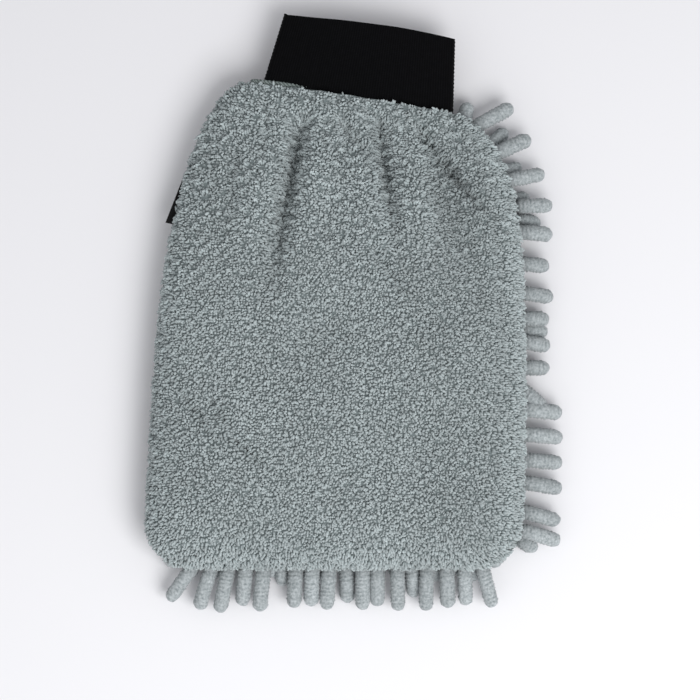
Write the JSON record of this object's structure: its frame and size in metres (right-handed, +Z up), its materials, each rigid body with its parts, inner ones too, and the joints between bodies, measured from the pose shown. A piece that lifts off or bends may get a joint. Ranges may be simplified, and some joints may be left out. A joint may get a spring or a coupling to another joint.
{
  "type": "wash mitt",
  "caption": "Flat hand-washing mitt with a curly plush face, chenille noodles on the back and round the edges, and a black elastic cuff.",
  "frame": {"origin": "middle of the bounding box's underside, on the surface the mitt lies on, noodle side down", "axes": "+Z up out of the plush side, +Y from the finger end to the cuff, +X to the right seen from above"},
  "size_m": [0.2104, 0.3044, 0.0385],
  "materials": {
    "plush": "short curly microfibre pile",
    "chenille": "fuzzy chenille yarn",
    "ground_knit": "plain knitted base cloth",
    "seam_thread": "overlock stitching",
    "cuff_webbing": "matt ribbed elastic webbing",
    "cuff_thread": "overlock stitching",
    "tab_ribbon": "black satin ribbon"
  },
  "bodies": {
    "mitt": {"plush_panel": "plush", "chenille_ground": "ground_knit", "panel_seam": "seam_thread", "wrist_seam": "seam_thread", "noodle_row_01": "chenille", "noodle_row_02": "chenille", "noodle_row_03": "chenille", "noodle_row_04": "chenille", "noodle_row_05": "chenille", "noodle_row_06": "chenille", "noodle_row_07": "chenille", "noodle_row_08": "chenille", "noodle_row_09": "chenille", "noodle_row_10": "chenille", "noodle_row_11": "chenille", "noodle_row_12": "chenille", "noodle_row_13": "chenille", "noodle_row_14": "chenille", "noodle_row_15": "chenille", "noodle_row_16": "chenille", "noodle_row_17": "chenille", "noodle_row_18": "chenille", "noodle_row_19": "chenille"},
    "cuff": {"cuff_front_band": "cuff_webbing", "cuff_back_band": "cuff_webbing", "cuff_left_seam": "cuff_thread", "cuff_right_seam": "cuff_thread"},
    "tab": {"side_tab": "tab_ribbon"},
    "side_noodles": {"side_fringe": "chenille"},
    "shoulder_noodles": {"shoulder_fringe": "chenille"},
    "end_noodles": {"end_fringe": "chenille"}
  },
  "joints": [
    {"name": "cuff_fold", "type": "hinge", "parent": "mitt", "child": "cuff", "pos_m": [-0.00126, 0.11064, 0.026], "axis": [0.9877, -0.1564, 0], "range_deg": [-20, 150], "stiffness_Nm_per_rad": 0.03},
    {"name": "tab_flip", "type": "hinge", "parent": "mitt", "child": "tab", "pos_m": [-0.0918, 0.0572, 0.0173], "axis": [0.2113, 0.9774, 0], "range_deg": [-70, 70], "stiffness_Nm_per_rad": 0.0005},
    {"name": "side_fringe_swing", "type": "hinge", "parent": "mitt", "child": "side_noodles", "pos_m": [0.0881, -0.1268, 0.016], "axis": [0, -1, 0], "range_deg": [-15, 75], "stiffness_Nm_per_rad": 0.02},
    {"name": "shoulder_fringe_swing", "type": "hinge", "parent": "mitt", "child": "shoulder_noodles", "pos_m": [0.0865, 0.0514, 0.016], "axis": [0.454, -0.891, 0], "range_deg": [-15, 75], "stiffness_Nm_per_rad": 0.006},
    {"name": "end_fringe_swing", "type": "hinge", "parent": "mitt", "child": "end_noodles", "pos_m": [-0.0875, -0.1351, 0.016], "axis": [-1, 0, 0], "range_deg": [-15, 75], "stiffness_Nm_per_rad": 0.02}
  ]
}
